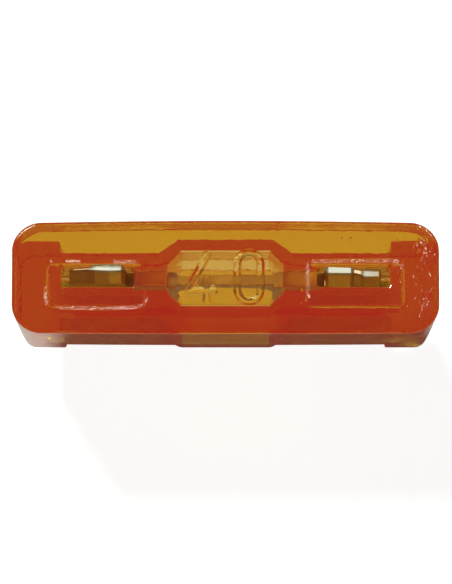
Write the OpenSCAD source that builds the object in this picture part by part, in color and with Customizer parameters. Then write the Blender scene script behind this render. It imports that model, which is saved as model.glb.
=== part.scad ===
// Regular-size automotive blade fuse of the enclosed kind.
// One clear moulded housing stands over one stamped element and closes round its blades. The head
// is up, the two blades point down, the length runs along X, and the origin is in the middle of the
// housing's lower face.

/* [Head] */
// Length of the head, the fuse's overall length
head_l = 19.1; // [18.5:0.1:21]
// Thickness of the head, front to back
head_t = 5.1; // [4.6:0.1:6]
// Height of the head
head_h = 5; // [4.4:0.1:5.6]
// Radius of the head's upright corners
head_corner = 1.3; // [0.5:0.1:1.8]

/* [Body under the head] */
// Height of the whole housing, head included
housing_h = 12.3; // [11.9:0.1:14]
// Thickness of the narrow panels over the blades, front to back
panel_t = 2.95; // [2.7:0.05:3.3]
// Width of each end post, along the fuse
post_w = 2; // [1.6:0.1:2.2]
// Thickness of each end post, front to back
post_t = 4.05; // [3.4:0.05:4.4]
// How far the outer face of each end post lies inside the end of the head
post_inset = 0.04; // [0.02:0.01:0.3]
// Radius of the end posts' upright outer corners
post_corner = 0.6; // [0.3:0.1:1]
// Thickness of the bulge round the link chamber, front to back
bulge_t = 4.2; // [3.8:0.05:4.4]
// Width of the bulge where it leaves the panels
bulge_root_w = 6.05; // [5.9:0.05:6.6]
// Width of the bulge's flat front and back faces
bulge_face_w = 4.3; // [3.6:0.1:4.8]
// How far the front and the back of the posts and the bulge draw in, from the head to the lower face
body_draft = 0.18; // [0.05:0.01:0.3]
// Thickness of the base that closes the housing round the blades
base_t = 4.2; // [3.4:0.1:4.8]

/* [Link chamber] */
// Width of the chamber round the link, along the fuse
chamber_w = 5.25; // [4.9:0.05:5.5]
// Thickness of the chamber, front to back
chamber_t = 2.5; // [2.2:0.05:2.8]
// Size of the chamber's four cut corners
chamber_bevel = 0.6; // [0.4:0.05:0.8]
// Roof over the chamber
roof_t = 0.7; // [0.5:0.05:0.9]

/* [Blade cavities] */
// Thickness of the cavity round each blade, front to back
cavity_t = 2.05; // [1.6:0.05:2.3]
// Wall between the chamber and each cavity
divider_t = 1; // [0.8:0.05:1.1]
// Room in the cavity past the outer edge of its blade
cavity_end_room = 0.75; // [0.3:0.05:0.8]
// Radius of the cavity's upright corners
cavity_corner = 0.4; // [0.2:0.05:0.7]
// Depth of the cavity's ceiling below the top of the head
cavity_depth = 5; // [4.6:0.1:5.4]

/* [Metal] */
// Thickness of the strip that the element is stamped from
metal_t = 0.65; // [0.6:0.01:0.8]
// Distance over the outer edges of the two blades
blade_span = 14.8; // [14.4:0.1:15.2]
// Width of each blade
blade_w = 5.2; // [4.9:0.1:5.4]
// Length of the blades below the housing
blade_out = 6.4; // [5.5:0.1:8]
// Width of the cut at each corner of a blade's tip
tip_cut_w = 0.9; // [0.4:0.1:1.4]
// Height of the cut at each corner of a blade's tip
tip_cut_h = 1.2; // [0.6:0.1:2]
// Thickness that is left at the end of a blade's tip
tip_t = 0.3; // [0.2:0.05:0.5]
// Height of the bevel on the faces of a blade's tip
tip_bevel_h = 0.9; // [0.4:0.1:1.6]

/* [Link] */
// Thickness of the thinned link
link_t = 0.42; // [0.3:0.02:0.55]
// Depth of the link's top edge below the top of the head
link_depth = 2.1; // [1.6:0.1:2.6]
// Height of the link at its middle, where it is narrowest
link_neck = 1.3; // [0.8:0.1:1.6]
// How far the link laps into each blade
link_lap = 0.25; // [0.1:0.05:0.4]

/* [Test tabs] */
// Distance of the middle of each test tab from the middle of the fuse
tab_mid = 5.72; // [5.4:0.02:5.9]
// Width of each test tab
tab_w = 2.55; // [2:0.05:2.8]
// Depth of the tab's top edge below the top of the head
tab_depth = 0.05; // [0.02:0.01:0.5]
// Width of the flat inner part of the tab's top edge
tab_flat = 1.35; // [0.8:0.05:1.8]
// How far the outer part of the tab's top edge slopes down
tab_drop = 0.55; // [0.2:0.05:0.9]

/* [Studs in the blades] */
// Height of the studs' axis above the lower face of the housing
stud_z = 2.1; // [1.2:0.1:2.4]
// Radius of the studs that the housing's base presses through the blades
stud_r = 0.85; // [0.6:0.05:1]

/* [Clearances] */
// Between each face of the metal and its slot
slot_clear = 0.12; // [0.05:0.01:0.2]
// Between the back of the metal and its slot, where the metal leans on the housing
back_clear = 0.02; // [0.01:0.01:0.04]
// Between the edges of the metal and the ends of its slot
edge_clear = 0.15; // [0.05:0.01:0.3]
// Between each side of a test tab and the end of its opening
tab_room = 0.36; // [0.1:0.02:0.5]
// Between a stud and the hole that it fills
stud_clear = 0.05; // [0.02:0.01:0.15]

/* [Hidden] */
$fn = 64;

// How far a cut runs past the face that it opens
cut_over = 1;
// How far joined shapes reach into each other
join_over = 0.2;

head_z = housing_h - head_h;
body_l = head_l - 2 * post_inset;
chamber_top = housing_h - roof_t;
cavity_top = housing_h - cavity_depth;

blade_outer = blade_span / 2;
blade_inner = blade_outer - blade_w;
blade_mid = blade_outer - blade_w / 2;
shoulder_z = cavity_top - edge_clear;
tab_inner = tab_mid - tab_w / 2;
tab_outer = tab_mid + tab_w / 2;
tab_top = housing_h - tab_depth;
link_top = housing_h - link_depth;
gap_round_z = link_top - link_neck - blade_inner;

slot_t = metal_t + 2 * slot_clear;
metal_y = slot_clear - back_clear;
slot_inner = blade_inner - edge_clear;
opening_inner = tab_inner - tab_room;
opening_outer = tab_outer + tab_room;
cavity_inner = chamber_w / 2 + divider_t;
cavity_outer = blade_outer + cavity_end_room;

// A rectangle in plan with round corners
module rounded_plan(l, t, r) {
    square([l - 2 * r, t], center = true);
    square([l, t - 2 * r], center = true);
    for (x = [-1, 1], y = [-1, 1])
        translate([x * (l / 2 - r), y * (t / 2 - r)])
            circle(r);
}

// The same shape on both sides of the middle
module both_sides() {
    children();
    mirror([1, 0, 0])
        children();
}

// The same shape on the front and on the back
module both_faces() {
    children();
    mirror([0, 1, 0])
        children();
}

// The bulge in plan, with sloping sides between the panels and its flat faces
module bulge_plan() {
    both_faces()
        polygon([
            [-bulge_root_w / 2, -join_over], [bulge_root_w / 2, -join_over],
            [bulge_root_w / 2, panel_t / 2], [bulge_face_w / 2, bulge_t / 2],
            [-bulge_face_w / 2, bulge_t / 2], [-bulge_root_w / 2, panel_t / 2]
        ]);
}

// The outline of the housing under its head: thin over the blades, thicker at its end posts and
// bulged round the chamber
module body_plan() {
    square([body_l - post_w, panel_t], center = true);
    difference() {
        rounded_plan(body_l, post_t, post_corner);
        square([body_l - 2 * post_w, post_t + cut_over], center = true);
    }
    bulge_plan();
}

// The body under the head, its front and back drawn in towards the lower face
module body() {
    half_t = max(post_t, bulge_t) / 2;
    slope = body_draft / head_z;
    intersection() {
        linear_extrude(head_z + join_over)
            body_plan();
        rotate([90, 0, 90])
            linear_extrude(body_l, center = true)
                polygon([
                    [body_draft - half_t, 0], [half_t - body_draft, 0],
                    [half_t + slope * join_over, head_z + join_over],
                    [-half_t - slope * join_over, head_z + join_over]
                ]);
    }
}

// The chamber in plan, with its four corners cut off at 45 degrees
module chamber_plan() {
    x = chamber_w / 2;
    y = chamber_t / 2;
    polygon([
        [x, y - chamber_bevel], [x - chamber_bevel, y], [chamber_bevel - x, y], [-x, y - chamber_bevel],
        [-x, chamber_bevel - y], [chamber_bevel - x, -y], [x - chamber_bevel, -y], [x, chamber_bevel - y]
    ]);
}

module cavity_plan() {
    translate([(cavity_inner + cavity_outer) / 2, 0])
        rounded_plan(cavity_outer - cavity_inner, cavity_t, cavity_corner);
}

// A slot for the metal, from the lower face up to a height and between two places along the fuse
module metal_slot(from_x, to_x, height) {
    translate([from_x, -slot_t / 2, -cut_over])
        cube([to_x - from_x, slot_t, height + cut_over]);
}

// The hollows of one side: the cavity, the blade's slot, the way past the divider and the test opening
module side_hollows() {
    translate([0, 0, base_t])
        linear_extrude(cavity_top - base_t)
            cavity_plan();
    metal_slot(slot_inner, blade_outer + edge_clear, cavity_top);
    metal_slot(slot_inner, opening_outer, link_top + edge_clear);
    metal_slot(opening_inner, opening_outer, housing_h + cut_over);
}

// A stud of the base that fills the hole in a blade from one side of its slot to the other
module stud() {
    translate([blade_mid, 0, stud_z])
        rotate([90, 0, 0])
            cylinder(r = stud_r, h = slot_t + 2 * join_over, center = true);
}

module housing() {
    color("darkorange", 0.6) {
        difference() {
            union() {
                body();
                translate([0, 0, head_z])
                    linear_extrude(head_h)
                        rounded_plan(head_l, head_t, head_corner);
            }
            translate([0, 0, base_t])
                linear_extrude(chamber_top - base_t)
                    chamber_plan();
            both_sides()
                side_hollows();
        }
        both_sides()
            stud();
    }
}

// One blade with its shoulder and test tab, seen from the front
module blade_outline() {
    difference() {
        polygon([
            [blade_inner, tip_cut_h - blade_out],
            [blade_inner + tip_cut_w, -blade_out],
            [blade_outer - tip_cut_w, -blade_out],
            [blade_outer, tip_cut_h - blade_out],
            [blade_outer, shoulder_z],
            [tab_outer, shoulder_z],
            [tab_outer, tab_top - tab_drop],
            [tab_inner + tab_flat, tab_top],
            [tab_inner, tab_top],
            [tab_inner, link_top],
            [blade_inner, link_top]
        ]);
        translate([blade_mid, stud_z])
            circle(stud_r + stud_clear);
    }
}

// The strip seen from its edge, with the bevelled tip
module strip_section() {
    polygon([
        [-tip_t / 2, -blade_out],
        [tip_t / 2, -blade_out],
        [metal_t / 2, tip_bevel_h - blade_out],
        [metal_t / 2, housing_h],
        [-metal_t / 2, housing_h],
        [-metal_t / 2, tip_bevel_h - blade_out]
    ]);
}

module blade() {
    intersection() {
        rotate([90, 0, 0])
            linear_extrude(metal_t, center = true)
                blade_outline();
        rotate([90, 0, 90])
            linear_extrude(blade_outer + cut_over)
                strip_section();
    }
}

// The link: a thinned bridge, flat on top, over the round end of the gap between the blades
module link() {
    rotate([90, 0, 0])
        linear_extrude(link_t, center = true)
            difference() {
                translate([-blade_inner - link_lap, gap_round_z])
                    square([2 * (blade_inner + link_lap), link_top - gap_round_z]);
                translate([0, gap_round_z])
                    circle(blade_inner);
            }
}

module fuse_element() {
    color("silver")
        translate([0, metal_y, 0]) {
            both_sides()
                blade();
            link();
        }
}

housing();
fuse_element();
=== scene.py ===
"""A regular-size automotive blade fuse: a clear amber moulded housing over a stamped element.

The part stands on the tips of its blades, as it would stand in its holder, and the camera looks
down on its head from a little in front. Sizes are in millimetres, and those of the main form are
the solids' own. The solids don't have the numerals, the surface marks and the small roundings.
"""

import math
import random

import bmesh
import bpy
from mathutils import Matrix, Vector


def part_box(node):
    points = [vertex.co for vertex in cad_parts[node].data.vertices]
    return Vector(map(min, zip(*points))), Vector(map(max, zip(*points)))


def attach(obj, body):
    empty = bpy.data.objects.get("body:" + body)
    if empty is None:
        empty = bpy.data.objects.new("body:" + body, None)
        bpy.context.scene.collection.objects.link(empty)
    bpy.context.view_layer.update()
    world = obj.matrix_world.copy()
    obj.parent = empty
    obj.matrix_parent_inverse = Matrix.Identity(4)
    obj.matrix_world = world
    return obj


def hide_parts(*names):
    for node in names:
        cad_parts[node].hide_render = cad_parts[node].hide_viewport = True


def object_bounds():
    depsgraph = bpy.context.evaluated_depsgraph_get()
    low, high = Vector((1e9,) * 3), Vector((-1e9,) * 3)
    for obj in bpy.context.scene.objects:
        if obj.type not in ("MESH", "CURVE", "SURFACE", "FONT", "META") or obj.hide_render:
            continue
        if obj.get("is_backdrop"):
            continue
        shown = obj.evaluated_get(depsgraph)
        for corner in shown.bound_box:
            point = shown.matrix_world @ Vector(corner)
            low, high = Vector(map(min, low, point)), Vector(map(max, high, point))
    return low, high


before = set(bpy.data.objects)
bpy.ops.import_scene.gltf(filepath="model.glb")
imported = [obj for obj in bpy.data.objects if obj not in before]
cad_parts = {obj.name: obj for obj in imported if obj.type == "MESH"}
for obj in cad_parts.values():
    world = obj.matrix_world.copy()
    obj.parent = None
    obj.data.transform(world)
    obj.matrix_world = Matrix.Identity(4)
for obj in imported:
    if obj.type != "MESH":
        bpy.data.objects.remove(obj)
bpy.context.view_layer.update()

MM = 0.001
PER_MM = 1000.0

# The photograph's frame, in pixels, and the place in it of the middle of the head's top face
IMAGE_W, IMAGE_H = 452, 584
HEAD_MIDDLE_PX = (225.5, 277.0)
PIXELS_PER_MM = 22.4

# The camera: how far it leans to the front from straight above, and how far it is from the head
CAMERA_TILT = math.radians(6.5)
CAMERA_DISTANCE = 200 * MM
CAMERA_NEAR, CAMERA_FAR = 0.01, 10.0
SENSOR = 36.0

# The lamps, all aimed at the foot of the housing: name, place and width in metres, and power
WARM_WHITE = (1.0, 0.96, 0.87)
LAMPS = (
    ("key", (-0.075, 0.155, 0.40), 0.08, 1.95),
    ("softbox", (0.0, 0.14, 0.40), 0.45, 0.04),
    ("front_fill", (0.06, -0.40, 0.02), 0.12, 0.22),
)

# The sky: its light, what gloss adds to it, and what the camera sees of it
SKY_LIGHT = 0.06
SKY_IN_GLOSS = 0.1
SKY_SEEN = 0.95

# The floor: its half width in metres, its grey, and what it adds for the camera and through plastic
FLOOR_HALF = 0.6
PAPER_GREY = (0.58, 0.58, 0.58)
PAPER_ROUGHNESS = 0.9
PAPER_SEEN = 0.88
PAPER_THROUGH = 0.33

# The bounces that light needs to find its way through walls inside walls
BOUNCES = 32
GLOSSY_BOUNCES = 24

# The head, and the body under it. The draft is drawn through a section at a share of its height
HEAD_H = 5.0
HEAD_CORNER = 1.3
PANEL_T = 2.95
POST_W = 2.0
POST_T = 4.05
POST_INSET = 0.04
POST_CORNER = 0.6
BULGE_T = 4.2
BULGE_ROOT_W = 6.05
BULGE_FACE_W = 4.3
BODY_DRAFT = 0.18
MIDDLE_SHARE = 0.58
BODY_INTO_HEAD = 0.2
BASE_T = 4.2

# The chamber round the link and the cavities round the blades
CHAMBER_W = 5.25
CHAMBER_T = 2.5
CHAMBER_BEVEL = 0.6
ROOF_T = 0.7
CAVITY_T = 2.05
CAVITY_INNER = 3.625
CAVITY_OUTER = 8.15
CAVITY_CORNER = 0.4
CAVITY_TOP = 7.3

# The metal and its slots. Those in the base are shorter than the solid's at their inner ends by
# 0.14 mm, so that no bare light shows through the chamber's lower corners
METAL_T = 0.65
METAL_BACK = 0.1
SLOT_T = 0.89
SLOT_INNER = 2.05
BASE_SLOT_INNER = 2.19
SLOT_OUTER = 7.55
LINK_TOP_ROOM = 1.95
STUD_X = 4.8
STUD_Z = 2.1
STUD_R = 0.85
STUD_BITE = 0.4
STUD_SIDES = 40

# The test openings over the tabs
OPENING_INNER = 4.085
OPENING_OUTER = 7.355
OPENING_CORNER = 0.12
OPENING_FOOT = BASE_T + 1.0
OPENING_TRIM = 0.002

# How far a tool stands out of the face that it cuts, and how far apart two tools' faces are kept
OVERSHOOT = 1.0
TOOL_GAP = 0.01

# The roundings that the mould leaves: along the head's top, its underside, and inside
TOP_ROUND = 0.14
EDGE_ROUND = 0.07
CORNER_ROUND = 1.5 * EDGE_ROUND
HEAD_LOWER_ROUND = 0.03
CEILING_ROUND = 0.16
LIP_ROUND = 0.07
ROUND_STEPS = 4
CORNER_STEPS = 3
HEAD_CORNER_STEPS = 14
POST_CORNER_STEPS = 6
CAVITY_CORNER_STEPS = 8
OPENING_CORNER_STEPS = 4

# How an outline is softened and grown: what counts as straight, and the limits at its corners
STRAIGHT = math.radians(160)
CORNER_SHARE = 0.4
MITRE_LIMIT = 0.3

# The bow of the head's long sides, as a share of its thickness, and the length of its pieces
BACK_BOW = 0.045
FRONT_BOW = 0.02
BOW_PIECE = 1.2

# The numerals: the strokes of the 4 from end to end, and the middle and half sizes of the 0
NUMERAL_R = 0.19
NUMERAL_LIFT = 0.02
FOUR = (
    ((-0.75, 1.12), (-1.7, -0.62)),
    ((-1.7, -0.62), (-0.45, -0.62)),
    ((-0.85, 0.12), (-0.85, -1.12)),
)
FOUR_PIECES = 6
ZERO_X, ZERO_HALF_W, ZERO_HALF_H = 1.05, 0.52, 1.1
ZERO_ARC_STEPS = 12
GROOVE_STEPS = 3

# The broken lines that the mould's inserts leave round the openings, as x, y and depth
WITNESS_SEED = 3
WITNESS_R = 0.24
WITNESS_PIECE = 0.2
WITNESS_END_LIFT = 0.02
WITNESS_DEPTH_WANDER = (-0.006, 0.003)
WITNESS_SIDE_WANDER = 0.004
WITNESS_LINES = (
    (
        (-8.05, 0.25, 0.0), (-8.07, -0.2, 0.012), (-8.05, -0.7, 0.024), (-8.0, -1.2, 0.03),
        (-7.95, -1.28, 0.0),
    ),
    (
        (-7.75, -1.36, 0.0), (-7.2, -1.38, 0.026), (-6.0, -1.4, 0.03), (-4.8, -1.4, 0.024),
        (-3.95, -1.36, 0.012), (-3.62, -1.2, 0.03), (-3.5, -0.95, 0.02), (-3.5, -0.6, 0.0),
    ),
    (
        (-7.95, 0.67, 0.0), (-7.8, 0.7, 0.02), (-7.5, 0.7, 0.004), (-6.7, 0.7, 0.02),
        (-6.3, 0.7, 0.002), (-4.1, 0.68, 0.02), (-3.85, 0.64, 0.0),
    ),
    (
        (3.64, 0.98, 0.0), (3.66, 0.4, 0.02), (3.66, -0.2, 0.016), (3.7, -0.75, 0.03),
        (3.72, -1.15, 0.0),
    ),
    (
        (3.86, 0.7, 0.02), (5.0, 0.71, 0.034), (6.4, 0.72, 0.034), (7.4, 0.74, 0.03),
        (7.65, 0.72, 0.016), (7.88, 0.5, 0.014), (7.92, -0.2, 0.01), (7.88, -0.9, 0.012),
        (7.6, -1.2, 0.0),
    ),
)

# The scratches on the worn right end: where they lie, their length, direction and depth
SCRATCH_SEED = 11
SCRATCH_TRIES = 30
SCRATCH_R = 0.07
SCRATCH_X, SCRATCH_X_SPREAD = 8.75, 0.25
SCRATCH_X_MIN, SCRATCH_X_MAX = 8.15, 9.2
SCRATCH_Y = (-1.5, 1.6)
SCRATCH_LENGTH = (0.12, 0.5)
SCRATCH_TURN = (0.6, 2.4)
SCRATCH_DEPTH = (0.018, 0.042)
SCRATCH_END_LIFT = 0.01
SCRATCH_PIECES = 4

# The pits, as x, y and radius: by the chamber, on the overhangs and round the 4, then the worn end
PITS = (
    (3.4, -0.6, 0.09), (3.58, -0.98, 0.1), (3.36, -1.14, 0.08), (7.82, -1.45, 0.1),
    (5.2, 1.75, 0.05), (5.6, 1.72, 0.06), (-6.0, -2.3, 0.07), (-7.6, -2.25, 0.06),
    (-0.56, -0.5, 0.13), (-1.27, -0.47, 0.1), (-1.58, -0.72, 0.1), (-0.42, -0.68, 0.09),
)
PIT_SEED = 7
WORN_PITS = 26
WORN_PIT_X = (7.6, 9.2)
WORN_PIT_Y = (-1.9, 2.2)
WORN_PIT_R = (0.04, 0.08)
PIT_STRETCH = (1.0, 1.8)
PIT_LIFT = 0.3

# Where the top's sunken marks are rubbed: how deep, how far out, and how clear of the openings
RUBBED_DEPTH = 0.25
RUBBED_SKIN = 0.001
RUBBED_X, RUBBED_Y = 9.25, 2.3
RUBBED_CLEAR_X, RUBBED_CLEAR_Y = 0.3, 0.65

# What the plastic does with light: the tint and density of its body, and a faint red glow painted
# into its body, which is no lamp
PLASTIC_IOR = 1.5
PLASTIC_TINT = (0.77, 0.786, 0.19)
PLASTIC_DENSITY = 1.22 * PER_MM
PAINTED_RED_GLOW = (1.0, 0.02, 0.01)
PAINTED_RED_GLOW_STRENGTH = 0.112 * PER_MM

# The plastic's surface: gloss, scuffs and rubbed marks, with grains in features to the metre
GLOSS, SCUFFED = 0.03, 0.12
RUBBED_ROUGHNESS = 0.2
SKIN_GRAIN = 2600
SCUFF_GRAIN = 5200
SCUFF_STRETCH = (1.0, 0.35, 1.0)
SCUFF_FROM, SCUFF_TO = 0.45, 0.75
SCUFF_HEIGHT = 3.0
GRIT_GRAIN = 11000
GRIT_HEIGHT = 3.5
SKIN_BUMP, SKIN_BUMP_DEPTH = 0.4, 0.015 * MM
WORN_SPAN = (8.0, 9.0)
WORN_WANDER = 2.0
WORN_GRAIN = 900

# The floors and ceilings of the cavities, matt and painted with a reddish shade, and how far in the
# matt and shaded parts start
CORE_ROUGHNESS = 0.6
CLEAR = (1.0, 1.0, 1.0)
CORE_PAINTED_SHADE = (0.93, 0.36, 0.3)
CORE_MARGIN = 0.17
CORE_RISE = 0.05

# The metal's tones, and the spans in X or Z over which one gives way to the next. The link, neck and
# tab tones are painted amber-brown shade
LINK_PAINTED_SHADE = (0.42, 0.22, 0.04)
NECK_PAINTED_SHADE = (0.33, 0.09, 0.02)
TAB_PAINTED_SHADE = (0.36, 0.18, 0.07)
RIDGE_TONE = (0.48, 0.49, 0.42)
BLADE_TONE = (0.82, 0.82, 0.77)
NECK_SPAN = (-2.55, -2.75)
TAB_SPAN = (3.9, 4.15)
RIDGE_SPAN = (12.16, 12.34)
PLATED_SPAN = (10.0, 9.6)
BLADE_SPAN = (0.5, -0.5)
BLOTCH_GRAIN = 1500
BLOTCH_WANDER = 0.25
DRAWN_GRAIN = 9000
DRAWN_STRETCH = (1.0, 1.0, 0.06)
DRAWN_FROM, DRAWN_TO = 0.2, 0.8
METAL_SMOOTH, METAL_ROUGH = 0.4, 0.5
PLATED_ROUGHER = 0.18
DRAWN_BUMP, DRAWN_BUMP_DEPTH = 0.3, 0.01 * MM

# The test tabs: where their tops start, the room that the cut takes, and their pinched profile
TAB_CUT = 11.0
TAB_CUT_H = 3.0
TAB_CUT_ROOM = 0.3
TAB_CUT_HALF_T = 1.0
TAB_OVERLAP = 0.1
TAB_SHOULDER = 0.3
RIDGE_H = 0.16
RIDGE_LEAN = 0.01
RIDGE_ROUND = 0.05
RIDGE_ROUND_SHARE = 0.3

# A section of a tab top: x, front edge, front drop, ridge front and back, and the ridge's drop
LEFT_TAB = (
    (-7.0, -0.22, 0.95, 0.3, 0.4, 0.45),
    (-6.8, -0.22, 0.8, 0.31, 0.4, 0.2),
    (-6.2, -0.22, 0.7, 0.33, 0.45, 0.12),
    (-5.85, -0.22, 0.66, 0.28, 0.57, 0.02),
    (-5.2, -0.22, 0.66, 0.25, 0.58, 0.0),
    (-4.68, -0.22, 0.7, 0.27, 0.57, 0.02),
    (-4.5, -0.2, 0.95, 0.33, 0.5, 0.16),
)
RIGHT_TAB = (
    (4.48, -0.3, 0.8, 0.2, 0.42, 0.1),
    (4.6, -0.36, 0.7, 0.15, 0.5, 0.0),
    (5.6, -0.38, 0.7, 0.14, 0.46, 0.0),
    (5.75, -0.38, 0.75, 0.16, 0.4, 0.16),
    (6.05, -0.36, 0.75, 0.1, 0.34, 0.14),
    (6.2, -0.34, 0.8, 0.0, 0.32, 0.06),
    (6.85, -0.28, 0.95, 0.0, 0.3, 0.12),
    (6.95, -0.22, 1.05, 0.08, 0.28, 0.4),
)

# The stamping's edges, and what counts as one point or one flat face in its mesh
STAMPED_ROUND = 0.035
STAMPED_ROUND_STEPS = 2
STAMPED_EDGE = math.radians(30)
SAME_POINT = 0.0005
SAME_FACE = math.radians(0.5)


def link(tree, source, target):
    tree.links.new(source, target)


def feed(tree, value, target):
    """Sets a socket to a plain number or colour, or links another socket to it."""
    if isinstance(value, bpy.types.NodeSocket):
        link(tree, value, target)
    elif isinstance(value, tuple):
        target.default_value = (*value, 1.0)
    else:
        target.default_value = value


def new_material(name):
    """An empty node material: its tree, its principled shader and its output."""
    material = bpy.data.materials.new(name)
    material.use_nodes = True
    tree = material.node_tree
    tree.nodes.clear()
    output = tree.nodes.new("ShaderNodeOutputMaterial")
    shader = tree.nodes.new("ShaderNodeBsdfPrincipled")
    link(tree, shader.outputs["BSDF"], output.inputs["Surface"])
    return material, tree, shader, output


def own_place(tree):
    """The X, Y and Z of the point in the object's own coordinates."""
    place = tree.nodes.new("ShaderNodeTexCoord")
    split = tree.nodes.new("ShaderNodeSeparateXYZ")
    link(tree, place.outputs["Object"], split.inputs["Vector"])
    return split.outputs


def noise(tree, grain, detail=3.0, stretch=(1.0, 1.0, 1.0)):
    """A noise field over the object's own coordinates, its grain in features to the metre."""
    place = tree.nodes.new("ShaderNodeTexCoord")
    mapping = tree.nodes.new("ShaderNodeMapping")
    mapping.inputs["Scale"].default_value = stretch
    field = tree.nodes.new("ShaderNodeTexNoise")
    field.inputs["Scale"].default_value = grain
    field.inputs["Detail"].default_value = detail
    link(tree, place.outputs["Object"], mapping.inputs["Vector"])
    link(tree, mapping.outputs["Vector"], field.inputs["Vector"])
    return field.outputs["Fac"]


def ramp(tree, source, low, high, to_low=0.0, to_high=1.0):
    """Maps a value from one range to another and holds it inside the second."""
    node = tree.nodes.new("ShaderNodeMapRange")
    node.inputs["From Min"].default_value = low
    node.inputs["From Max"].default_value = high
    node.inputs["To Min"].default_value = to_low
    node.inputs["To Max"].default_value = to_high
    link(tree, source, node.inputs["Value"])
    return node.outputs["Result"]


def across(tree, source, span):
    """0 at the first place of a span in millimetres, 1 at the second."""
    start, end = span
    return ramp(tree, source, start * MM, end * MM)


def math_node(tree, operation, *values):
    """The result of a math node over sockets and plain numbers."""
    node = tree.nodes.new("ShaderNodeMath")
    node.operation = operation
    for value, target in zip(values, node.inputs):
        feed(tree, value, target)
    return node.outputs[0]


def mix_colour(tree, share, first, second):
    """A colour between two, each a plain colour or a socket."""
    node = tree.nodes.new("ShaderNodeMix")
    node.data_type = "RGBA"
    feed(tree, share, node.inputs[0])
    feed(tree, first, node.inputs[6])
    feed(tree, second, node.inputs[7])
    return node.outputs[2]


def add_bump(tree, shader, height, strength, depth):
    bump = tree.nodes.new("ShaderNodeBump")
    bump.inputs["Strength"].default_value = strength
    bump.inputs["Distance"].default_value = depth
    link(tree, height, bump.inputs["Height"])
    link(tree, bump.outputs["Normal"], shader.inputs["Normal"])


def worn_end(tree):
    """1 on the scuffed right end of the housing, 0 on the rest, with a ragged edge between."""
    wander = WORN_WANDER * MM
    ragged = math_node(tree, "MULTIPLY_ADD", noise(tree, WORN_GRAIN), wander, -wander / 2)
    edge = math_node(tree, "ADD", own_place(tree)["X"], ragged)
    return across(tree, edge, WORN_SPAN)


def core_matt_and_shade(tree):
    """1 on the floors and ceilings of the blade cavities, which the mould's cores leave matt, and
    where a reddish shade is painted.
    """
    place = own_place(tree)
    ranges = (
        ("X", (CAVITY_INNER + CAVITY_OUTER) / 2, (CAVITY_OUTER - CAVITY_INNER) / 2 - CORE_MARGIN),
        ("Y", 0.0, CAVITY_T / 2 - CORE_MARGIN),
        ("Z", (BASE_T + CAVITY_TOP) / 2, (CAVITY_TOP - BASE_T) / 2 + CORE_RISE),
    )
    inside = None
    for axis, middle, reach in ranges:
        far = math_node(tree, "ABSOLUTE", place[axis])
        near = math_node(tree, "COMPARE", far, middle * MM, reach * MM)
        inside = near if inside is None else math_node(tree, "MULTIPLY", inside, near)
    return inside


def amber_plastic():
    """Clear amber plastic: yellow where it is thin, red where the light has far to go, and with a
    faint painted red glow of its own.
    """
    material, tree, shader, output = new_material("clear_amber_plastic")
    shader.inputs["Transmission Weight"].default_value = 1.0
    shader.inputs["IOR"].default_value = PLASTIC_IOR
    absorb = tree.nodes.new("ShaderNodeVolumeAbsorption")
    feed(tree, PLASTIC_TINT, absorb.inputs["Color"])
    feed(tree, PLASTIC_DENSITY, absorb.inputs["Density"])
    # Painted light: the body glows faintly red, so that its long and shaded paths look red, not dark.
    glow = tree.nodes.new("ShaderNodeEmission")
    feed(tree, PAINTED_RED_GLOW, glow.inputs["Color"])
    feed(tree, PAINTED_RED_GLOW_STRENGTH, glow.inputs["Strength"])
    both = tree.nodes.new("ShaderNodeAddShader")
    link(tree, absorb.outputs["Volume"], both.inputs[0])
    link(tree, glow.outputs["Emission"], both.inputs[1])
    link(tree, both.outputs["Shader"], output.inputs["Volume"])

    cores = core_matt_and_shade(tree)
    # Painted shade: a reddish base colour on the cavity floors and ceilings darkens and reddens the
    # light seen through the pockets.
    link(tree, mix_colour(tree, cores, CLEAR, CORE_PAINTED_SHADE), shader.inputs["Base Color"])

    scuffs = ramp(tree, noise(tree, SCUFF_GRAIN, 5.0, SCUFF_STRETCH), SCUFF_FROM, SCUFF_TO)
    scuffs = math_node(tree, "MULTIPLY", scuffs, worn_end(tree))
    rubbed = tree.nodes.new("ShaderNodeAttribute")
    rubbed.attribute_name = "rubbed"
    rubbed = rubbed.outputs["Fac"]
    grit = math_node(tree, "MULTIPLY", noise(tree, GRIT_GRAIN, 2.0), rubbed)
    height = math_node(tree, "MULTIPLY_ADD", scuffs, SCUFF_HEIGHT, noise(tree, SKIN_GRAIN, 2.0))
    height = math_node(tree, "MULTIPLY_ADD", grit, GRIT_HEIGHT, height)
    add_bump(tree, shader, height, SKIN_BUMP, SKIN_BUMP_DEPTH)

    rough = ramp(tree, scuffs, 0.0, 1.0, GLOSS, SCUFFED)
    rough = math_node(tree, "MAXIMUM", rough, math_node(tree, "MULTIPLY", cores, CORE_ROUGHNESS))
    rough = math_node(tree, "MAXIMUM", rough, math_node(tree, "MULTIPLY", rubbed, RUBBED_ROUGHNESS))
    link(tree, rough, shader.inputs["Roughness"])
    return material


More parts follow.
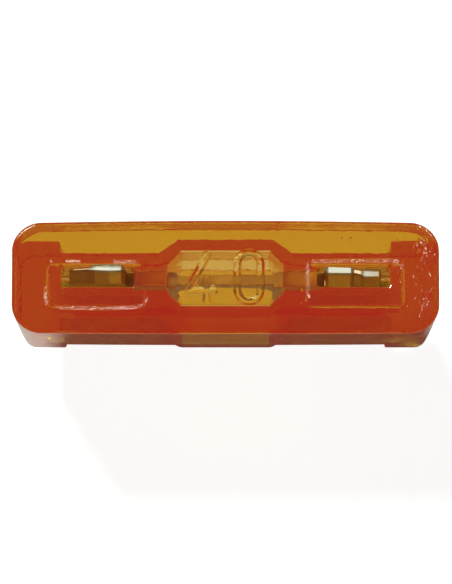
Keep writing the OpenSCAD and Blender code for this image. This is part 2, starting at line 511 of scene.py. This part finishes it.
def plated_metal():
    """Dull plated strip, with amber-brown shade painted round the link and on the tabs' faces, and
    finely drawn along its length.
    """
    material, tree, shader, _ = new_material("plated_metal")
    shader.inputs["Metallic"].default_value = 1.0
    place = own_place(tree)
    blotches = noise(tree, BLOTCH_GRAIN, 4.0)
    height = math_node(tree, "MULTIPLY_ADD", blotches, BLOTCH_WANDER * MM, place["Z"])
    outward = math_node(tree, "ABSOLUTE", place["X"])
    # Painted shade: the link, the left neck and the tabs' faces are coloured amber-brown for the dim,
    # tinted light that reaches them through the plastic.
    neck = mix_colour(tree, across(tree, place["X"], NECK_SPAN), LINK_PAINTED_SHADE, NECK_PAINTED_SHADE)
    painted_shade = mix_colour(tree, across(tree, outward, TAB_SPAN), neck, TAB_PAINTED_SHADE)
    plating = mix_colour(tree, across(tree, height, BLADE_SPAN), RIDGE_TONE, BLADE_TONE)
    ridge = across(tree, height, RIDGE_SPAN)
    plated = math_node(tree, "MAXIMUM", ridge, across(tree, height, PLATED_SPAN))
    link(tree, mix_colour(tree, plated, painted_shade, plating), shader.inputs["Base Color"])

    drawn = noise(tree, DRAWN_GRAIN, 4.0, DRAWN_STRETCH)
    grain = ramp(tree, drawn, DRAWN_FROM, DRAWN_TO, METAL_SMOOTH, METAL_ROUGH)
    rough = math_node(tree, "MULTIPLY_ADD", plated, PLATED_ROUGHER, grain)
    link(tree, rough, shader.inputs["Roughness"])
    add_bump(tree, shader, drawn, DRAWN_BUMP, DRAWN_BUMP_DEPTH)
    return material


def paper():
    """The pale floor: it takes the shadow, and looks white to the camera and through plastic."""
    material, tree, shader, _ = new_material("paper_floor")
    feed(tree, PAPER_GREY, shader.inputs["Base Color"])
    shader.inputs["Roughness"].default_value = PAPER_ROUGHNESS
    shader.inputs["Specular IOR Level"].default_value = 0.0
    path = tree.nodes.new("ShaderNodeLightPath").outputs
    seen = math_node(tree, "MULTIPLY", path["Is Camera Ray"], PAPER_SEEN)
    bright = math_node(tree, "MULTIPLY_ADD", path["Is Transmission Ray"], PAPER_THROUGH, seen)
    shader.inputs["Emission Color"].default_value = (1.0, 1.0, 1.0, 1.0)
    link(tree, bright, shader.inputs["Emission Strength"])
    return material


def arc(center, radius, start, end, steps):
    """Points of an arc, its angles in degrees."""
    turns = [math.radians(start + (end - start) * i / steps) for i in range(steps + 1)]
    return [(center[0] + radius * math.cos(t), center[1] + radius * math.sin(t)) for t in turns]


def round_rectangle(left, right, half_t, radius, steps):
    """A rectangle in plan with round corners, between two places along the fuse."""
    points = []
    points += arc((right - radius, half_t - radius), radius, 0, 90, steps)
    points += arc((left + radius, half_t - radius), radius, 90, 180, steps)
    points += arc((left + radius, radius - half_t), radius, 180, 270, steps)
    points += arc((right - radius, radius - half_t), radius, 270, 360, steps)
    return points


def bowed(points, half_l):
    """The outline with its long sides bowed out a little, as shrinkage leaves them."""
    shaped = []
    for start, end in zip(points, points[1:] + points[:1]):
        pieces = max(1, round(math.dist(start, end) / BOW_PIECE))
        for k in range(pieces):
            x, y = (a + (b - a) * k / pieces for a, b in zip(start, end))
            pull = BACK_BOW if y > 0 else FRONT_BOW
            shaped.append((x, y * (1 - pull * (x / half_l) ** 2)))
    return shaped


def all_round(quarter):
    """The whole outline from the quarter between +X and +Y, listed from the X axis round."""
    points = list(quarter)
    points += [(-x, y) for x, y in reversed(quarter)]
    points += [(-x, -y) for x, y in quarter]
    points += [(x, -y) for x, y in reversed(quarter)]
    return points


def soften(points, radius):
    """The outline with each of its sharp corners rounded off."""
    softened = []
    for i, corner in enumerate(points):
        here = Vector(corner)
        before = Vector(points[i - 1]) - here
        after = Vector(points[(i + 1) % len(points)]) - here
        if before.angle(after) > STRAIGHT:
            softened.append(corner)
            continue
        reach = min(radius, before.length * CORNER_SHARE, after.length * CORNER_SHARE)
        start = here + before.normalized() * reach
        end = here + after.normalized() * reach
        for k in range(CORNER_STEPS + 1):
            t = k / CORNER_STEPS
            softened.append(tuple(start * (1 - t) ** 2 + here * 2 * t * (1 - t) + end * t ** 2))
    return softened


def grow(points, distance):
    """The outline moved outward, or inward by a negative distance, its corners kept."""
    moved = []
    for i, corner in enumerate(points):
        here = Vector(corner)
        before = (here - Vector(points[i - 1])).normalized()
        after = (Vector(points[(i + 1) % len(points)]) - here).normalized()
        out_before = Vector((before.y, -before.x))
        out_after = Vector((after.y, -after.x))
        out = (out_before + out_after).normalized()
        moved.append(tuple(here + out * distance / max(MITRE_LIMIT, out.dot(out_before))))
    return moved


def new_object(name, data):
    piece = bpy.data.objects.new(name, data)
    bpy.context.scene.collection.objects.link(piece)
    return piece


def mesh_object(name, bm):
    """The object of a finished mesh, its faces turned outward."""
    mesh = bpy.data.meshes.new(name)
    bmesh.ops.recalc_face_normals(bm, faces=bm.faces)
    bm.to_mesh(mesh)
    bm.free()
    return new_object(name, mesh)


def skin(bm, loops):
    """Faces between each loop of points and the next."""
    for this, following in zip(loops, loops[1:]):
        for i in range(len(this)):
            j = (i + 1) % len(this)
            bm.faces.new((this[i], this[j], following[j], following[i]))


def loft(name, rings):
    """A closed solid through rings of as many points each; a ring is its height and outline."""
    bm = bmesh.new()
    loops = []
    for height, outline in rings:
        loops.append([bm.verts.new((x * MM, y * MM, height * MM)) for x, y in outline])
    skin(bm, loops)
    bm.faces.new(list(reversed(loops[0])))
    bm.faces.new(loops[-1])
    return mesh_object(name, bm)


def prism(name, outline, low, high, low_round=0.0, high_round=0.0):
    """An upright prism, its lower and upper edges rounded. A negative upper one flares outward."""
    rings = []
    for k in range(ROUND_STEPS if low_round else 0):
        turn = math.radians(90 * k / ROUND_STEPS)
        narrow = grow(outline, -low_round * (1 - math.sin(turn)))
        rings.append((low + low_round * (1 - math.cos(turn)), narrow))
    rings.append((low + low_round, outline))
    rings.append((high - abs(high_round), outline))
    for k in range(1, ROUND_STEPS + 1 if high_round else 1):
        turn = math.radians(90 * k / ROUND_STEPS)
        turned = grow(outline, -high_round * (1 - math.cos(turn)))
        rings.append((high - abs(high_round) * (1 - math.sin(turn)), turned))
    if high_round < 0:
        rings.append((high + OVERSHOOT, grow(outline, -high_round)))
    return loft(name, rings)


def block(name, low, high):
    """A plain box between two corners, as a cutting tool."""
    bm = bmesh.new()
    bmesh.ops.create_cube(bm, size=1.0)
    for vert in bm.verts:
        vert.co = [(low[i] + (high[i] - low[i]) * (vert.co[i] + 0.5)) * MM for i in range(3)]
    return mesh_object(name, bm)


def combine(piece, tool, operation):
    """Cuts a tool from a piece, or joins it on, and clears the tool away."""
    change = piece.modifiers.new("combine", "BOOLEAN")
    change.operation = operation
    change.solver = "EXACT"
    change.object = tool
    graph = bpy.context.evaluated_depsgraph_get()
    mesh = bpy.data.meshes.new_from_object(piece.evaluated_get(graph))
    piece.modifiers.clear()
    old = piece.data
    piece.data = mesh
    bpy.data.meshes.remove(old)
    bpy.data.objects.remove(tool)


def cut(piece, tool):
    combine(piece, tool, "DIFFERENCE")


def join(piece, tool):
    combine(piece, tool, "UNION")


def body_outline(half_l, draft):
    """The body in plan: end posts, thin panels and the bulge, its thick faces drawn in by a draft."""
    limit = max(POST_T, BULGE_T) / 2 - draft
    post_y = min(POST_T / 2, limit)
    bulge_y = min(BULGE_T / 2, limit)
    post_inner = half_l - POST_W
    corner_middle = (half_l - POST_CORNER, post_y - POST_CORNER)
    quarter = arc(corner_middle, POST_CORNER, 0, 90, POST_CORNER_STEPS)
    quarter += [(post_inner, post_y), (post_inner, PANEL_T / 2)]
    quarter += [(BULGE_ROOT_W / 2, PANEL_T / 2), (BULGE_FACE_W / 2, bulge_y)]
    return soften(all_round(quarter), CORNER_ROUND)


def outer_shape(head_l, head_t, top):
    """The housing as one lump: the body, drawn in towards its lower face, with the head on it."""
    head_z = top - HEAD_H
    half_l = head_l / 2 - POST_INSET
    rings = []
    for k in range(ROUND_STEPS):
        turn = math.radians(90 * k / ROUND_STEPS)
        outline = grow(body_outline(half_l, BODY_DRAFT), -EDGE_ROUND * (1 - math.sin(turn)))
        rings.append((EDGE_ROUND * (1 - math.cos(turn)), outline))
    for height in (EDGE_ROUND, head_z * MIDDLE_SHARE, head_z + BODY_INTO_HEAD):
        draft = max(0.0, BODY_DRAFT * (1 - height / head_z))
        rings.append((height, body_outline(half_l, draft)))
    lump = loft("moulded_housing", rings)
    outline = round_rectangle(-head_l / 2, head_l / 2, head_t / 2, HEAD_CORNER, HEAD_CORNER_STEPS)
    outline = bowed(outline, head_l / 2)
    join(lump, prism("head", outline, head_z, top, HEAD_LOWER_ROUND, TOP_ROUND))
    return lump


def hollow(lump, top):
    """Cuts the chamber, the blade cavities, the slots of the metal and the two test openings."""
    x, y = CHAMBER_W / 2, CHAMBER_T / 2
    chamber = soften(all_round([(x, y - CHAMBER_BEVEL), (x - CHAMBER_BEVEL, y)]), EDGE_ROUND)
    cut(lump, prism("chamber", chamber, BASE_T, top - ROOF_T, EDGE_ROUND, EDGE_ROUND))
    slots = (
        (BASE_SLOT_INNER, SLOT_OUTER, -OVERSHOOT, CAVITY_TOP - TOOL_GAP),
        (SLOT_INNER, OPENING_OUTER - TOOL_GAP, BASE_T + TOOL_GAP, top - LINK_TOP_ROOM),
    )
    for side in (-1, 1):
        ends = sorted((side * CAVITY_INNER, side * CAVITY_OUTER))
        cavity = round_rectangle(*ends, CAVITY_T / 2, CAVITY_CORNER, CAVITY_CORNER_STEPS)
        cut(lump, prism("cavity", cavity, BASE_T, CAVITY_TOP, EDGE_ROUND, CEILING_ROUND))
        for inner, outer, foot, height in slots:
            left, right = sorted((side * inner, side * outer))
            cut(lump, block("slot", (left, -SLOT_T / 2, foot), (right, SLOT_T / 2, height)))
        ends = sorted((side * OPENING_INNER, side * OPENING_OUTER))
        half_t = SLOT_T / 2 - OPENING_TRIM
        opening = round_rectangle(*ends, half_t, OPENING_CORNER, OPENING_CORNER_STEPS)
        cut(lump, prism("opening", opening, OPENING_FOOT, top, 0.0, -LIP_ROUND))


def studs(lump):
    """The studs of the base that fill the holes in the blades."""
    for side in (-1, 1):
        bm = bmesh.new()
        bmesh.ops.create_cone(
            bm,
            cap_ends=True,
            segments=STUD_SIDES,
            radius1=STUD_R * MM,
            radius2=STUD_R * MM,
            depth=(SLOT_T + STUD_BITE) * MM,
        )
        for vert in bm.verts:
            x, y, z = vert.co
            vert.co = (side * STUD_X * MM + x, z, STUD_Z * MM + y)
        join(lump, mesh_object("stud", bm))


def groove(name, points, radius, closed=False):
    """A round-bottomed tool along a path, for a stroke, a line or a scratch."""
    curve = bpy.data.curves.new(name, "CURVE")
    curve.dimensions = "3D"
    curve.bevel_depth = radius * MM
    curve.bevel_resolution = GROOVE_STEPS
    curve.use_fill_caps = True
    spline = curve.splines.new("POLY")
    spline.points.add(len(points) - 1)
    for point, (x, y, z) in zip(spline.points, points):
        point.co = (x * MM, y * MM, z * MM, 1.0)
    spline.use_cyclic_u = closed
    holder = new_object(name, curve)
    graph = bpy.context.evaluated_depsgraph_get()
    mesh = bpy.data.meshes.new_from_object(holder.evaluated_get(graph))
    bpy.data.objects.remove(holder)
    return new_object(name, mesh)


def numerals(lump, top):
    """A plain 4 and a plain 0, sunk in the top over the chamber."""
    height = top + NUMERAL_LIFT
    for (x0, y0), (x1, y1) in FOUR:
        points = []
        for k in range(FOUR_PIECES + 1):
            x = x0 + (x1 - x0) * k / FOUR_PIECES
            y = y0 + (y1 - y0) * k / FOUR_PIECES
            points.append((x, y, height))
        cut(lump, groove("stroke", points, NUMERAL_R))
    rise = ZERO_HALF_H - ZERO_HALF_W
    loop = arc((ZERO_X, rise), ZERO_HALF_W, 0, 180, ZERO_ARC_STEPS)
    loop += arc((ZERO_X, -rise), ZERO_HALF_W, 180, 360, ZERO_ARC_STEPS)
    points = [(x, y, height) for x, y in loop]
    cut(lump, groove("stroke", points, NUMERAL_R, closed=True))


def sink(lump, name, path, radius):
    """Sinks a round-bottomed line in the top along points, each x, y and the height of its bed."""
    cut(lump, groove(name, [(x, y, bed + radius) for x, y, bed in path], radius))


def witness_lines(lump, top):
    """The fine broken lines that the mould's inserts leave round the openings."""
    chance = random.Random(WITNESS_SEED)
    for line in WITNESS_LINES:
        path = []
        for start, end in zip(line, line[1:]):
            pieces = max(1, round(math.dist(start[:2], end[:2]) / WITNESS_PIECE))
            for k in range(pieces):
                x, y, depth = (a + (b - a) * k / pieces for a, b in zip(start, end))
                depth += chance.uniform(*WITNESS_DEPTH_WANDER)
                y += chance.uniform(-WITNESS_SIDE_WANDER, WITNESS_SIDE_WANDER)
                path.append((x, y, top - depth))
        path.append((line[-1][0], line[-1][1], top + WITNESS_END_LIFT))
        sink(lump, "witness_line", path, WITNESS_R)


def scratches(lump, top):
    """Short scratches on the worn right end, deepest in their middles."""
    chance = random.Random(SCRATCH_SEED)
    for _ in range(SCRATCH_TRIES):
        x = chance.gauss(SCRATCH_X, SCRATCH_X_SPREAD)
        y = chance.uniform(*SCRATCH_Y)
        if not SCRATCH_X_MIN < x < SCRATCH_X_MAX:
            continue
        length = chance.uniform(*SCRATCH_LENGTH)
        turn = chance.uniform(*SCRATCH_TURN)
        depth = chance.uniform(*SCRATCH_DEPTH)
        path = []
        for k in range(SCRATCH_PIECES + 1):
            t = k / SCRATCH_PIECES - 0.5
            bed = top - depth + 4 * t * t * (depth + SCRATCH_END_LIFT)
            path.append((x + length * t * math.cos(turn), y + length * t * math.sin(turn), bed))
        sink(lump, "scratch", path, SCRATCH_R)


def pits(lump, top):
    """Small pits and nicks in the top: a few by the chamber, more on the worn right end."""
    chance = random.Random(PIT_SEED)
    spots = list(PITS)
    for _ in range(WORN_PITS):
        ranges = (WORN_PIT_X, WORN_PIT_Y, WORN_PIT_R)
        spots.append(tuple(chance.uniform(*span) for span in ranges))
    for x, y, radius in spots:
        bm = bmesh.new()
        bmesh.ops.create_icosphere(bm, subdivisions=2, radius=radius * MM)
        stretch = chance.uniform(*PIT_STRETCH)
        height = (top + PIT_LIFT * radius) * MM
        for vert in bm.verts:
            vert.co = (vert.co.x + x * MM, vert.co.y * stretch + y * MM, vert.co.z + height)
        cut(lump, mesh_object("pit", bm))


def mark_rubbed(lump, top):
    """Marks the faces of the sunken lines and pits, which are rubbed and catch the light."""
    marks = lump.data.attributes.new("rubbed", "FLOAT", "FACE")
    for face, mark in zip(lump.data.polygons, marks.data):
        x, y, z = (abs(value) * PER_MM for value in face.center)
        sunken = top - RUBBED_DEPTH < z < top - RUBBED_SKIN and x < RUBBED_X and y < RUBBED_Y
        clear_x = x < OPENING_INNER - RUBBED_CLEAR_X or x > OPENING_OUTER + RUBBED_CLEAR_X
        clear = clear_x or y > RUBBED_CLEAR_Y
        mark.value = 1.0 if sunken and clear and x > CHAMBER_W / 2 else 0.0


def dress(piece, material):
    """Gives a piece its material and keeps its faces flat."""
    piece.data.materials.clear()
    piece.data.materials.append(material)
    for face in piece.data.polygons:
        face.use_smooth = False


def housing():
    """The moulded housing, at the node's own length, thickness and height."""
    low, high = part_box("housing")
    head_l = (high.x - low.x) * PER_MM
    head_t = (high.y - low.y) * PER_MM
    top = high.z * PER_MM
    lump = outer_shape(head_l, head_t, top)
    hollow(lump, top)
    studs(lump)
    numerals(lump, top)
    witness_lines(lump, top)
    scratches(lump, top)
    pits(lump, top)
    mark_rubbed(lump, top)
    dress(lump, amber_plastic())
    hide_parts("housing")
    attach(lump, "root")


def tab_top(piece, name, top, sections):
    """Puts a pinched top on a test tab: a ridge at the back and a slope down to the front."""
    left, right = sections[0][0], sections[-1][0]
    low = (left - TAB_CUT_ROOM, -TAB_CUT_HALF_T, TAB_CUT)
    high = (right + TAB_CUT_ROOM, TAB_CUT_HALF_T, TAB_CUT + TAB_CUT_H)
    cut(piece, block("tab_cut", low, high))
    front, back = METAL_BACK - METAL_T / 2, METAL_BACK + METAL_T / 2
    foot = TAB_CUT - TAB_OVERLAP
    bm = bmesh.new()
    rings = []
    for x, front_y, front_drop, ridge_front, ridge_back, ridge_drop in sections:
        front_z, ridge_z = top - front_drop, top - ridge_drop
        rim = min(RIDGE_ROUND, (ridge_back - ridge_front) * RIDGE_ROUND_SHARE)
        profile = (
            (front, foot),
            (front, front_z - TAB_SHOULDER),
            (front_y, front_z),
            (ridge_front, ridge_z - RIDGE_H),
            (ridge_front + RIDGE_LEAN, ridge_z - rim),
            (ridge_front + rim, ridge_z),
            (ridge_back - rim, ridge_z),
            (ridge_back, ridge_z - rim),
            (back, ridge_z - TAB_SHOULDER),
            (back, foot),
        )
        rings.append([bm.verts.new((x * MM, y * MM, z * MM)) for y, z in profile])
    skin(bm, rings)
    bm.faces.new(rings[0])
    bm.faces.new(list(reversed(rings[-1])))
    join(piece, mesh_object(name, bm))


def clean_mesh(mesh, operation, **options):
    """Runs one mesh operation over all the points of a mesh."""
    bm = bmesh.new()
    bm.from_mesh(mesh)
    operation(bm, verts=bm.verts, **options)
    bm.to_mesh(mesh)
    bm.free()


def flatten(bm, verts):
    bmesh.ops.dissolve_limit(bm, angle_limit=SAME_FACE, verts=verts, edges=bm.edges)


def element():
    """The stamped strip: the solid's own form, its tabs pinched and its edges a little rounded."""
    piece = new_object("stamped_element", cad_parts["fuse_element"].data.copy())
    clean_mesh(piece.data, bmesh.ops.remove_doubles, dist=SAME_POINT * MM)
    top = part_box("fuse_element")[1].z * PER_MM
    tab_top(piece, "left_tab", top, LEFT_TAB)
    tab_top(piece, "right_tab", top, RIGHT_TAB)
    clean_mesh(piece.data, flatten)
    edges = piece.modifiers.new("round_edges", "BEVEL")
    edges.width = STAMPED_ROUND * MM
    edges.segments = STAMPED_ROUND_STEPS
    edges.limit_method = "ANGLE"
    edges.angle_limit = STAMPED_EDGE
    edges.miter_outer = "MITER_ARC"
    dress(piece, plated_metal())
    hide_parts("fuse_element")
    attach(piece, "root")


def floor():
    """The floor, at the height of the blades' tips."""
    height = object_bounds()[0][2]
    signs = ((-1, -1), (1, -1), (1, 1), (-1, 1))
    corners = [(x * FLOOR_HALF, y * FLOOR_HALF, height) for x, y in signs]
    mesh = bpy.data.meshes.new("floor")
    mesh.from_pydata(corners, [], [(0, 1, 2, 3)])
    mesh.materials.append(paper())
    ground = new_object("floor", mesh)
    ground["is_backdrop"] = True


def area_light(name, place, size, power):
    """A round warm lamp, aimed at the foot of the housing."""
    data = bpy.data.lights.new(name, "AREA")
    data.shape = "DISK"
    data.size = size
    data.energy = power
    data.color = WARM_WHITE
    lamp = new_object(name, data)
    lamp.location = place
    lamp.rotation_mode = "QUATERNION"
    lamp.rotation_quaternion = (-Vector(place)).to_track_quat("-Z", "Y")


def sky():
    """A weak even sky, which the camera sees as white."""
    world = bpy.data.worlds.new("studio")
    bpy.context.scene.world = world
    world.use_nodes = True
    tree = world.node_tree
    background = tree.nodes["Background"]
    background.inputs["Color"].default_value = (1.0, 1.0, 1.0, 1.0)
    path = tree.nodes.new("ShaderNodeLightPath").outputs
    mirrored = math_node(tree, "MULTIPLY_ADD", path["Is Glossy Ray"], SKY_IN_GLOSS, SKY_LIGHT)
    seen = math_node(tree, "MULTIPLY", path["Is Camera Ray"], SKY_SEEN)
    link(tree, math_node(tree, "MAXIMUM", seen, mirrored), background.inputs["Strength"])


def camera():
    """The camera over the head, with the head's middle where the photograph has it."""
    low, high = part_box("housing")
    head_middle = Vector(((low[0] + high[0]) / 2, (low[1] + high[1]) / 2, high[2]))
    back = Vector((0.0, -math.sin(CAMERA_TILT), math.cos(CAMERA_TILT)))
    up = Vector((0.0, math.cos(CAMERA_TILT), math.sin(CAMERA_TILT)))
    right = Vector((1.0, 0.0, 0.0))
    off_x = (IMAGE_W / 2 - HEAD_MIDDLE_PX[0]) / PIXELS_PER_MM * MM
    off_y = (HEAD_MIDDLE_PX[1] - IMAGE_H / 2) / PIXELS_PER_MM * MM
    data = bpy.data.cameras.new("camera")
    data.sensor_width = SENSOR
    data.lens = SENSOR * CAMERA_DISTANCE / (IMAGE_H / PIXELS_PER_MM * MM)
    data.clip_start = CAMERA_NEAR
    data.clip_end = CAMERA_FAR
    eye = new_object("camera", data)
    eye.location = head_middle + back * CAMERA_DISTANCE + right * off_x + up * off_y
    eye.rotation_mode = "QUATERNION"
    eye.rotation_quaternion = (-back).to_track_quat("-Z", "Y")
    bpy.context.scene.camera = eye


def light_paths():
    cycles = bpy.context.scene.cycles
    cycles.max_bounces = BOUNCES
    cycles.glossy_bounces = GLOSSY_BOUNCES
    cycles.transmission_bounces = BOUNCES


bpy.context.scene.view_settings.view_transform = "Standard"
camera()
floor()
sky()
for name, place, size, power in LAMPS:
    area_light(name, place, size, power)
light_paths()
housing()
element()
